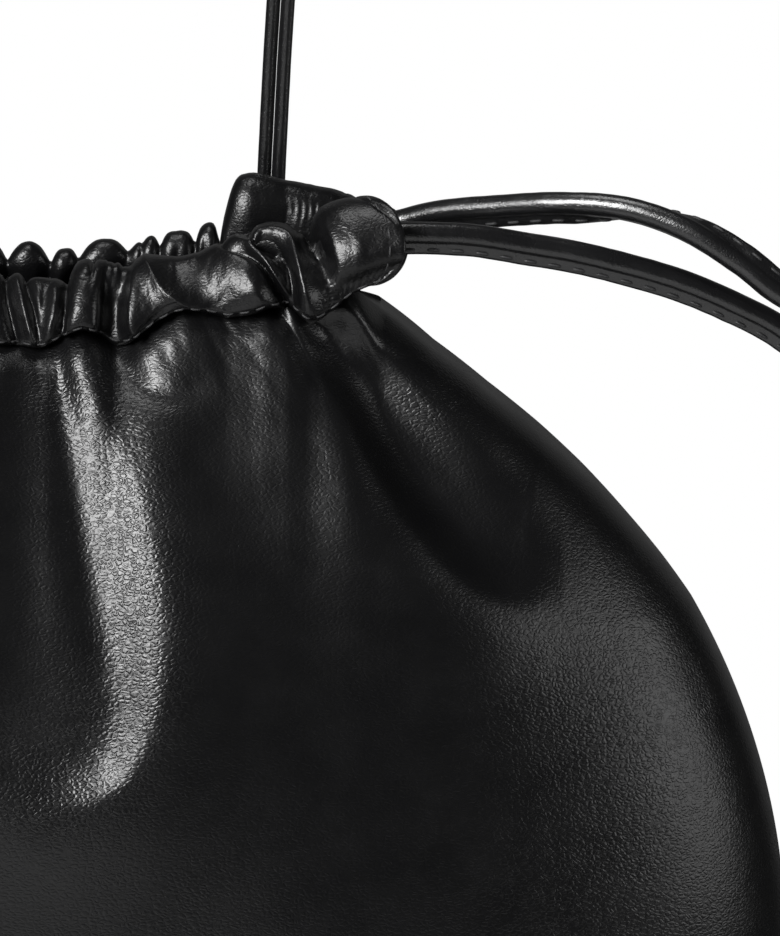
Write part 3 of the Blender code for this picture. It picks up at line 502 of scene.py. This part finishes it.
# "outwards" is the share of a fold's lift that moves the skin away from the mouth and "flush" the power of the
# oval's cosine, each by angle round the section. Columns are given by where they are fine, from and to, and their
# coarse and fine spacing.
casingSizes = {"neckDepth": 0.0130, "stitchDepth": 0.0192, "end": (0.0705, 0.0715), "wall": 0.26, "rim": 0.55,
               "around": (66, 44), "endTurn": 0.70, "turnFrom": 0.70, "rough": 0.00008, "wrinkle": 0.0045,
               "fineWrinkle": 0.0016, "pitch": 0.0033, "stitch": 0.0024, "thread": 0.00045, "seamRow": 12,
               "hemFrom": 6, "hemColumns": (3, 6), "frontColumns": (-0.005, 0.0705, 0.0006, 0.0003),
               "backColumns": (-0.006, 0.070, 0.0007, 0.0004),
               "outwards": ([-90, -50, 0, 60, 90, 180, 225, 270], [0.5, 0.9, 1.0, 0.6, 0, -0.9, -0.4, 0.5]),
               "flush": ([-90, -50, 0, 30, 270], [0.9, 0.7, 0.8, 0.85, 0.85])}


def casingColumns(end, fineFrom, fineTo, coarse, fine):
    # places along a casing from one end to the other, fine where the photo shows it
    place = [np.linspace(-end, fineFrom, int((fineFrom + end) / coarse)),
             np.linspace(fineFrom, fineTo, int((fineTo - fineFrom) / fine)),
             np.linspace(fineTo, end, max(2, int((end - fineTo) / coarse)))]
    return np.unique(np.concatenate(place).round(7))


def casingGrid(place, topTable, stitchTable, deepTable, folds, side, seed, sizes):
    # Points by column and angle, from the stitch line over the outside, the top and the inside. The section is
    # an oval: height = stitch line + tall * (1 + sin angle) / 2, depth = middle + half-depth * cos angle ** flush.
    # The folds move it outwards, and over the top upwards. Near the ends the section turns about an upright line.
    outside, inside = sizes["around"]
    angle = np.linspace(-90, 90, outside, endpoint=False), np.linspace(90, 270, inside, endpoint=False)
    angle = np.concatenate(angle)
    outwards = np.interp(angle, *sizes["outwards"])[None]
    upwards = np.sin(np.radians(angle)).clip(0, 1)[None]
    angle = np.radians(angle)[None]
    x = place[:, None] + 0 * angle
    lift = (np.sin(angle) + 1) / 2
    base = fromTable(x, stitchTable)
    h = base + (fromTable(x, topTable) - base) * lift
    deep = fromTable(x, deepTable)
    out = (sizes["stitchDepth"] - sizes["neckDepth"]) * (1 - lift) ** 1.5
    flush = np.interp(np.degrees(angle), *sizes["flush"])
    cosine = np.sign(np.cos(angle)) * np.abs(np.cos(angle)) ** flush
    moved = relief(x, h, folds)
    moved = moved + waves(x, h, sizes["wrinkle"], seed) * sizes["rough"] * 2
    moved = moved + waves(x * 1.6, h, sizes["fineWrinkle"], seed + 1) * sizes["rough"]
    y = sizes["neckDepth"] + out + deep * cosine + moved * outwards
    z = stitchLine + h + moved * upwards
    reach = np.abs(x) / sizes["end"][0 if side < 0 else 1]
    turned = sizes["endTurn"] * np.clip((reach - sizes["turnFrom"]) / (1 - sizes["turnFrom"]), 0, 1.2) ** 2
    x = x + np.sign(x) * turned * deep * np.cos(angle)
    return np.stack([x, side * y, z], -1)


def closedTube(name, outer, side, sizes):
    # the outer skin, a rounded rim at each end and an inner skin joined into one closed form
    centre = outer.mean(axis=1, keepdims=True)
    inner = centre + (outer - centre) * (1 - sizes["wall"])
    rims = []
    for end, way in ((-1, 1), (0, -1)):
        theta = np.linspace(0, np.pi, 9)[1:-1, None, None]
        share = (1 - np.cos(theta)) / 2
        ring = outer[end] * (1 - share) + inner[end] * share
        wall = np.linalg.norm(outer[end] - inner[end], axis=1)[None, :, None]
        rims.append(ring + np.sin(theta) * wall * sizes["rim"] * np.array([way, 0, 0]))
    inside = inner[::-1][::4]
    points = np.concatenate([outer, rims[0], inside, rims[1][::-1]])
    piece = gridMesh(name, points, casingLeather, closedRows=True, closedColumns=True, flip=side < 0)
    return piece


frontCasing = casingGrid(casingColumns(casingSizes["end"][0], *casingSizes["frontColumns"]), frontTop, frontStitch,
                         frontDeep, frontFolds, side=-1, seed=11, sizes=casingSizes)
backCasing = casingGrid(casingColumns(casingSizes["end"][1], *casingSizes["backColumns"]), backTop, backStitch,
                        backDeep, backFolds, side=1, seed=23, sizes=casingSizes)
for label, grid, side in (("front", frontCasing, -1), ("back", backCasing, 1)):
    piece = closedTube(f"{label}_casing_leather", grid, side, casingSizes)
    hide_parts(f"{label}_casing")
    # the row that sews the casing on, just over its lower edge, and a hem at each end, 1.5 to 3 mm from the rim
    lift = np.cross(np.gradient(grid, axis=0), np.gradient(grid, axis=1))
    lift = lift / np.linalg.norm(lift, axis=-1)[..., None] * -side
    row = casingSizes["seamRow"]
    stitchRow(f"{label}_casing_stitches", grid[::3, row], lift[::3, row], casingSizes)
    hem = slice(casingSizes["hemFrom"], casingSizes["around"][0] + 2, 3)
    fromLeft, fromRight = casingSizes["hemColumns"]
    for way, column in (("left", fromLeft), ("right", len(grid) - fromRight)):
        stitchRow(f"{label}_casing_hem_{way}", grid[column, hem], lift[column, hem], casingSizes)
print("casings made")

# Panels: the plain form of the part's source, then the folds, listed from the top down. The shoulder is what the
# half-width loses by level, and calm what is left of the puckers by x in millimetres. Puckers and swells have a
# size, a lift and a reach below the casing, the bead a lift, a place and a width, and the seam a depth and a width.
# The edge leaves the casing's line and depth, and the mouth's corner closes, between the two values of edgeEnd,
# shiftEnd and corner, measured from the middle.
bodySizes = {"halfWidth": 0.154, "halfDepth": 0.057, "upperHeight": 0.128, "lowerHeight": 0.126,
             "bottomHalf": 0.030, "neckHalf": 0.077, "edgeDepth": 0.0172, "seamRise": 0.004, "wall": 0.0014,
             "outlinePower": 2.4, "depthPower": 2.2, "edgeEnd": (0.0730, 0.0650), "shiftEnd": (0.0765, 0.066),
             "shiftReach": 0.010, "foldStart": (-0.003, 0.005), "puckers": (0.0042, 0.00055, 0.018),
             "finePuckers": (0.0016, 0.00018, 0.010), "swells": (0.030, 0.0006, 0.05),
             "bead": (0.0006, 0.0035, 0.0028), "seam": (0.0009, 0.0022),
             "calm": [(15, 1), (21, 0.3), (30, 0.25), (36, 0.1), (55, 0.1), (60, 1)],
             "shoulder": [(0, 0), (0.56, 0), (0.62, 0.0008), (0.69, 0.0020), (0.76, 0.0030), (0.82, 0.0042),
                          (0.88, 0.0058), (0.94, 0.0064), (1.0, 0.0048)],
             "tuck": ((0.0012, 0.0006), (0.0030, 0.0004)), "corner": (0.064, 0.070), "cornerEnd": 0.0722,
             "cornerSlope": 0.35, "cornerRise": 0.0003,
             "counts": {"front": (340, 200, 70), "back": (260, 150, 60), "lining": (90, 46, 26)}}
frontPanelFolds = [
    # the broad overlap at the neck, and the pocket that it covers
    (1.8, [(48.7, 13.4, 24, 1.4, 0.4), (53.0, 5.4, 24, 1.5, 0.7), (57.3, -2.2, 24, 1.6, 1.4),
           (62.9, -11.2, 24, 1.8, 2.8), (68.0, -20.4, 22, 2.2, 4.0), (73.1, -29.1, 22, 2.7, 5.0),
           (79.8, -38.0, 22, 3.4, 5.0), (86.3, -45.0, 22, 4.4, 4.4), (93.8, -49.9, 20, 5.6, 3.4),
           (101.2, -51.8, 18, 7.0, 2.0), (108.5, -51.6, 14, 8.0, 0.7), (115, -49.7, 12, 8, 0.0)]),
    (2.0, [(52.2, 13.0, 1.6, 4, -2.0), (57.0, 6.4, 2.4, 5, -4.2), (61.4, 0.8, 3.4, 6, -6.2),
           (68.0, -7.6, 4.6, 8, -7.6), (73.4, -16.6, 5.4, 10, -7.8), (78.7, -25.2, 5.8, 12, -7.4),
           (85.0, -33.0, 6.0, 13, -6.2), (91.0, -38.8, 6.4, 13, -4.8), (97.2, -42.2, 7.0, 12, -3.2),
           (102.5, -43.2, 7.0, 11, -1.4), (108, -43.2, 7.0, 10, 0.0)]),
    # the long U: its crest right of the lit flank, the valley and the low arm left of it
    (2.0, [(11.8, 3.5, 3.0, 4, 0.3), (13.4, -2.0, 4.0, 5, 1.0), (17.6, -9.2, 4.4, 7, 1.9),
           (23.0, -18.6, 6.2, 10, 2.7), (28.0, -32.2, 8.6, 14, 3.9), (31.6, -46.0, 10.0, 18, 4.4),
           (31.8, -59.0, 9.2, 18, 4.2), (29.2, -71.8, 7.2, 17, 3.7), (23.0, -83.0, 5.6, 16, 3.2),
           (13.0, -87.6, 5.4, 16, 2.8), (2.5, -86.6, 5.6, 16, 2.5), (-8, -82.0, 6.2, 16, 2.0),
           (-20, -74, 8.0, 16, 0.0)]),
    (2.0, [(7.4, 4, 1.6, 2.4, -0.6), (8.8, -4.5, 2.2, 3.0, -0.7), (10.6, -20.0, 3.0, 4.4, -0.9),
           (13.0, -36.0, 4.0, 5.0, -1.1), (15.4, -49.0, 5.0, 5.4, -0.9), (16.8, -57.0, 6.0, 6.0, -0.5),
           (17.2, -66, 7.0, 6.0, 0.0)]),
    (2.0, [(5.0, -6, 3, 2.0, 0.0), (7.0, -16, 4, 2.4, 0.3), (8.4, -27, 5, 3.0, 0.6), (10.4, -41, 6, 3.5, 0.8),
           (12.2, -54, 7, 4, 0.8), (14.0, -66, 8, 5, 0.5), (15.5, -76, 8, 6, 0.0)]),
    # the ridge left of the photo, whose right side is the dark hollow at its left edge
    (2.0, [(-8, 4, 6, 8, 2.6), (-10, -8, 10, 10, 4.2), (-12, -24, 14, 12, 5.2), (-14, -44, 16, 13, 5.2),
           (-15, -60, 18, 14, 3.8), (-15, -76, 20, 14, 0.0)]),
    # the lit swelling in the pocket
    (2.0, [(78.0, -6.0, 4.0, 6.0, 0.0), (84.0, -12.0, 4.5, 8.0, 0.8), (91.0, -18.0, 5.0, 9.0, 1.1),
           (97.5, -24.0, 6.0, 9.0, 0.6), (102, -30, 6.0, 9.0, 0.0)]),
    # the shallow arc under the casing
    (2.0, [(20.0, 0.0, 2.0, 2.0, -1.4), (22.0, -5.5, 2.6, 2.6, -1.3), (27.0, -9.5, 2.8, 2.8, -0.9),
           (33.5, -10.0, 2.8, 2.8, -0.6), (40.0, -6.5, 2.8, 2.8, 0.0)]),
    # left of the photo
    (1.8, [(-55, 3, 1.8, 16, 3.0), (-60, -6, 2.6, 18, 6.0), (-69, -20, 5, 22, 7.5), (-80, -36, 9, 24, 5.5),
           (-95, -48, 13, 24, 0.0)]),
    (2.0, [(-61.5, -2, 7, 4, -2.0), (-72, -19, 10, 7, -6.0), (-88, -37, 14, 11, -4.0),
           (-102, -50, 16, 14, 0.0)]),
    (2.0, [(-31, 0, 4, 4, -1.5), (-38, -20, 7, 8, -3.0), (-46, -42, 10, 11, -2.0), (-52, -58, 12, 12, 0.0)]),
    # two soft creases at the right edge
    (1.4, [(130.9, -60.7, 3.0, 1.5, 0.0), (135.4, -70.1, 3.0, 1.5, -0.5), (139.0, -80.2, 3.0, 1.5, 0.0)]),
    (1.4, [(138.0, -72.4, 2.5, 1.4, 0.0), (140.8, -78.5, 2.5, 1.4, -0.4), (143.4, -84.4, 2.5, 1.4, 0.0)]),
]
# where the leather is creased most: in the same way, with the share of the full grain that shows for the lift
frontGrain = [
    (2.0, [(10, 2, 10, 8, 0.4), (15, -8, 12, 8, 0.9), (21, -22, 14, 9, 1.0), (26, -45, 14, 9, 1.0),
           (26, -62, 14, 9, 1.0), (20, -78, 12, 9, 1.0), (8, -84, 12, 9, 0.9), (-12, -78, 12, 10, 0.0)]),
    (2.0, [(76, -6, 7, 7, 0.0), (84, -13, 7, 7, 0.8), (92, -20, 7, 7, 0.0)]),
    (2.0, [(112, -40, 18, 18, 0.0), (118, -62, 26, 20, 0.55), (120, -90, 30, 22, 0.6),
           (112, -125, 30, 22, 0.5), (100, -160, 30, 22, 0.0)]),
]
backPanelFolds = [
    (2.0, [(0, -2, 6, 6, -2.0), (-2, -25, 10, 10, -4.5), (-4, -55, 15, 15, 0.0)]),
    (1.8, [(54, 2, 14, 3, 2.0), (66, -16, 16, 5, 3.5), (82, -36, 18, 9, 1.5), (95, -50, 18, 12, 0.0)]),
    (2.0, [(64, -4, 5, 7, -2.0), (78, -24, 9, 11, -3.5), (94, -44, 14, 14, 0.0)]),
    (1.8, [(-52, 2, 3, 14, 2.0), (-64, -18, 5, 16, 3.5), (-84, -40, 9, 18, 0.0)]),
    (2.0, [(-62, -4, 7, 5, -2.0), (-78, -26, 11, 9, -3.0), (-94, -46, 14, 14, 0.0)]),
    (2.0, [(26, -1, 4, 4, -1.5), (32, -22, 7, 7, -2.5), (38, -46, 10, 10, 0.0)]),
    (2.0, [(-28, -1, 4, 4, -1.5), (-34, -22, 7, 7, -2.5), (-42, -46, 10, 10, 0.0)]),
]


def panelGrid(turn, level, side, folds, edgeLine, sizes, inset=0.0):
    # Points by turn, from -1 to 1 between the side seams, and level, which runs from 1 at the stitch line over 0 at
    # the widest line to -1 at the bottom seam. x = half-width * sin turn and depth = half-depth * cos turn to a
    # power. Half-width and half-depth follow an ellipse over the widest line and a fuller curve under it. The edge
    # follows the casing's, and folds, puckers, bead and seam move the skin along y.
    angle = turn * np.pi / 2
    up = np.clip(level, 0, 1)
    down = np.clip(-level, 0, 1) * np.pi / 2
    half = sizes["halfWidth"] * np.sqrt(1 - (1 - (sizes["neckHalf"] / sizes["halfWidth"]) ** 2) * up**2)
    half = half - (sizes["halfWidth"] - sizes["bottomHalf"]) * (1 - np.cos(down) ** (2 / sizes["outlinePower"]))
    half = half - np.interp(up, *zip(*sizes["shoulder"]))
    deep = sizes["halfDepth"] * np.sqrt(1 - (1 - (sizes["edgeDepth"] / sizes["halfDepth"]) ** 2) * up**2)
    deep = deep * np.cos(down).clip(0, 1) ** (2 / sizes["depthPower"])
    x = half * np.sin(angle)
    rounding = np.cos(angle).clip(0, 1)
    order = np.argsort(edgeLine[:, 0])
    edgeX, edgeY, edgeZ = edgeLine[order].T
    edgeY = np.convolve(np.pad(edgeY, 4, mode="edge"), np.full(9, 1 / 9), mode="valid")
    inner = smoothStep(*sizes["edgeEnd"], np.abs(x))
    edge = (np.interp(x, edgeX, edgeZ) - stitchLine) * inner + sizes["seamRise"] * (1 - inner)
    h = up * sizes["upperHeight"] + edge * up**5 - sizes["upperHeight"]
    h = h - sizes["lowerHeight"] * np.sin(down) ** (2 / sizes["outlinePower"])
    below = sizes["upperHeight"] * (1 - up) + sizes["lowerHeight"] * np.sin(down)
    gather = sizes["neckHalf"] * np.sin(angle)
    plainEdge = sizes["edgeDepth"] * rounding**0.35
    edgeShift = np.abs(np.interp(gather, edgeX, edgeY)) - plainEdge
    edgeShift = edgeShift * smoothStep(*sizes["shiftEnd"], np.abs(gather))
    folded = relief(x, h, folds)
    fade = rounding**0.6 * np.cos(down) * smoothStep(*sizes["foldStart"], below)
    under = np.exp(-((below / sizes["shiftReach"]) ** 1.2))
    calm = np.interp(x * 1000, *zip(*sizes["calm"]))
    size, lift, reach = sizes["puckers"]
    soft = waves(gather, below * 0.25, size, 5) * lift * calm * np.exp(-below / reach)
    size, lift, reach = sizes["finePuckers"]
    soft = soft + waves(gather, below * 0.3, size, 6) * lift * np.exp(-below / reach)
    size, lift, reach = sizes["swells"]
    soft = soft + waves(x, h, size, 8) * lift * smoothStep(0.0, reach, below)
    lift, place, width = sizes["bead"]
    bead = lift * np.exp(-(((below - place) / width) ** 2))
    y = deep * rounding ** (0.85 - 0.50 * up**4) + edgeShift * under + folded * fade + (soft + bead) * rounding**0.5
    depth, width = sizes["seam"]
    seam = depth * np.exp(-((rounding * half / width) ** 2))
    y = np.maximum(y - seam - inset, 0.0)
    return np.stack([x, side * y, stitchLine + h], -1)


def panelColumns(count):
    # turns across the panel, closer together right of the middle, where the folds are tightest
    place = np.linspace(0, 1, 2001)
    weight = 1 + 0.9 * np.exp(-(((place - 0.66) / 0.18) ** 2))
    run = np.concatenate([[0], np.cumsum((weight[1:] + weight[:-1]) / 2)])
    return np.interp(np.linspace(0, 1, count), run / run[-1], place) * 2 - 1


def panelRows(upper, lower):
    # levels down the panel, closer together under the casing
    near = 1 - np.linspace(0, 1, upper) ** 1.7
    return np.concatenate([near, -np.linspace(0, 1, lower + 1)[1:]])


for label, side, folds, casingPoints in (("front", -1, frontPanelFolds, frontCasing),
                                         ("back", 1, backPanelFolds, backCasing)):
    edgeLine = casingPoints[:, 0]
    columns, upper, lower = bodySizes["counts"][label]
    turn, level = np.meshgrid(panelColumns(columns), panelRows(upper, lower))
    skin = panelGrid(turn, level, side, folds, edgeLine, bodySizes)
    # two more rows tuck the edge in under the casing, and close the mouth's corners
    tuck = [skin[:1] + np.array([[[0, -side * inwards, upwards]]]) for inwards, upwards in bodySizes["tuck"]]
    fromMiddle = np.abs(skin[:1, :, 0])
    corner = smoothStep(*bodySizes["corner"], fromMiddle)
    slope = bodySizes["cornerSlope"] * (bodySizes["cornerEnd"] - fromMiddle).clip(0)
    closed = stitchLine + bodySizes["seamRise"] + slope + bodySizes["cornerRise"]
    for k, share in enumerate((0.5, 1.0)):
        tuck[k][..., 1] *= 1 - share * corner
        tuck[k][..., 2] += (closed - tuck[k][..., 2]) * share * corner
    skin = np.concatenate([tuck[1], tuck[0], skin])
    piece = gridMesh(f"{label}_panel_leather", skin, bodyLeather, flip=side < 0)
    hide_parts(f"{label}_panel")
    if side < 0:
        # relief takes the table for millimetres, so its shares come back as thousandths
        grain = (relief(skin[..., 0], skin[..., 2] - stitchLine, frontGrain) * 1000).clip(0, 1)
        grainLayer = piece.data.attributes.new("grain", "FLOAT", "POINT")
        grainLayer.data.foreach_set("value", grain.astype(np.float32).ravel())
    columns, upper, lower = bodySizes["counts"]["lining"]
    turn, level = np.meshgrid(np.linspace(-1, 1, columns), panelRows(upper, lower))
    lining = panelGrid(turn, level, side, folds, edgeLine, bodySizes, bodySizes["wall"])
    inside = gridMesh(f"{label}_panel_inside", lining, bodyLeather, flip=side > 0)
print("panels made")

# tabs over the strands' ends: a patch that lies on the back panel and arches over the strands. Its height over
# the panel is clear + (strand + 2 * clear) * arch + leather, and 0 at its edges
tabSizes = {"at": 0.0497, "width": 0.016, "top": -0.010, "height": 0.022, "clear": 0.0008, "strand": 0.0026,
            "arch": 1.9, "leather": 0.0012, "border": 0.0008, "blur": 0.0009, "counts": (28, 32),
            "stitchInset": 0.0016, "outwards": (0, 1.0, 0.25), "pitch": 0.0030, "stitch": 0.0021, "thread": 0.00045}
backSkin = skin.reshape(-1, 3)  # the back panel's, the last one made
nearTabs = np.abs(np.abs(backSkin[:, 0]) - tabSizes["at"]) < tabSizes["width"]
backSkin = backSkin[nearTabs & (backSkin[:, 2] > stitchLine - 0.04)]


def tabSurface(x, h, side, raised):
    # the back panel's depth at the place, as a mean of the panel's points near it, plus the height over it
    away = (x[..., None] - backSkin[:, 0]) ** 2 + (h[..., None] + stitchLine - backSkin[:, 2]) ** 2
    near = np.exp(-away / tabSizes["blur"] ** 2)
    panel = (near * backSkin[:, 1]).sum(-1) / near.sum(-1)
    across = np.abs(x - side * tabSizes["at"]) / (tabSizes["width"] / 2)
    arch = smoothStep(0, 1, tabSizes["arch"] * (1 - across))
    over = tabSizes["clear"] + (tabSizes["strand"] + 2 * tabSizes["clear"]) * arch + tabSizes["leather"]
    return np.stack([x, panel + over * raised, stitchLine + h], -1)


def borderSteps(length, count):
    # places from one edge of a tab to the other, closer together in its rounded border
    border, rim = tabSizes["border"], np.array([0, 0.15, 0.5])
    return border * np.concatenate([rim, np.linspace(1, length / border - 1, count), length / border - rim[::-1]])


for label, side in (("right", 1), ("left", -1)):
    wide, tall = tabSizes["width"], tabSizes["height"]
    across, down = np.meshgrid(borderSteps(wide, tabSizes["counts"][0]), borderSteps(tall, tabSizes["counts"][1]))
    edge = np.minimum(np.minimum(across, wide - across), np.minimum(down, tall - down)) / tabSizes["border"]
    raised = np.sqrt(1 - (1 - edge.clip(0, 1)) ** 2)
    points = tabSurface(side * tabSizes["at"] - wide / 2 + across, tabSizes["top"] - down, side, raised)
    tab = gridMesh(f"strap_tab_{label}_leather", points, casingLeather)
    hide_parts(f"strap_tab_{label}")
    # stitches down one side, along the bottom and up the other side
    inset, count = tabSizes["stitchInset"], 9
    low, high = -wide / 2 + inset, wide / 2 - inset
    fall = np.linspace(-inset, inset - tall, count)
    x = np.concatenate([np.full(count, low), np.linspace(low, high, count)[1:-1], np.full(count, high)])
    h = np.concatenate([fall, np.full(count - 2, inset - tall), fall[::-1]])
    seam = tabSurface(x + side * tabSizes["at"], h + tabSizes["top"], side, np.ones(len(x)))
    stitchRow(f"strap_tab_{label}_stitches", seam, np.tile(tabSizes["outwards"], (len(seam), 1)), tabSizes)
print("tabs made")

# stage: a pale floor far under the pouch, white all round for the eye, and softboxes
studioSettings = {"floorHeight": -0.62, "floorHalf": 0.65, "floorColour": (0.50, 0.50, 0.50), "floorRough": 0.9,
                  "fill": 0.02}
half, height = studioSettings["floorHalf"], studioSettings["floorHeight"]
corners = [(x, y, height) for x, y in ((-half, -half), (half, -half), (half, half), (-half, half))]
floorMesh = bpy.data.meshes.new("floor")
floorMesh.from_pydata(corners, [], [(0, 1, 2, 3)])
floorPaint = bpy.data.materials.new("floor_paint")
floorPaint.use_nodes = True
floorShader = floorPaint.node_tree.nodes["Principled BSDF"]
floorShader.inputs["Base Color"].default_value = (*studioSettings["floorColour"], 1)
floorShader.inputs["Roughness"].default_value = studioSettings["floorRough"]
floorMesh.materials.append(floorPaint)
floor = bpy.data.objects.new("floor", floorMesh)
scene.collection.objects.link(floor)

# each softbox: name, place, what it looks at, width, height, power
softboxes = [
    ("key", (-0.72, -0.88, 0.34), (0.02, 0, -0.30), 0.42, 0.75, 27),
    ("right", (1.40, -0.44, -0.06), (0.10, 0, -0.30), 0.8, 0.75, 4.8),
    ("top", (-0.1, 0.05, 0.95), (0.05, 0, -0.25), 0.5, 0.4, 3.2),
    ("low", (-0.35, -1.50, -0.88), (0.0, 0, -0.38), 1.2, 0.5, 1.6),
    ("back", (0.3, 1.6, 0.1), (0.05, 0, -0.30), 2.4, 1.6, 1.3),
]
for label, place, target, width, height, power in softboxes:
    light = bpy.data.lights.new(label, "AREA")
    light.shape = "RECTANGLE"
    light.size, light.size_y, light.energy = width, height, power
    lamp = bpy.data.objects.new(label, light)
    lamp.location = place
    lamp.visible_camera = False
    lamp.rotation_euler = (Vector(target) - Vector(place)).to_track_quat("-Z", "Y").to_euler()
    scene.collection.objects.link(lamp)

# the world: white where the camera sees it, and a faint fill for all else
world = bpy.data.worlds.new("studio")
world.use_nodes = True
tree = world.node_tree
sky = tree.nodes["Background"]
sky.inputs["Color"].default_value = (1, 1, 1, 1)
sky.inputs["Strength"].default_value = studioSettings["fill"]
seen = setUp(tree, "ShaderNodeBackground", Strength=1.0)
seen.inputs["Color"].default_value = (1, 1, 1, 1)
mix = setUp(tree, "ShaderNodeMixShader")
tree.links.new(setUp(tree, "ShaderNodeLightPath").outputs["Is Camera Ray"], mix.inputs["Fac"])
tree.links.new(sky.outputs["Background"], mix.inputs[1])
tree.links.new(seen.outputs["Background"], mix.inputs[2])
tree.links.new(mix.outputs["Shader"], tree.nodes["World Output"].inputs["Surface"])
scene.world = world
scene.view_settings.view_transform = "Standard"
print("stage and light set")
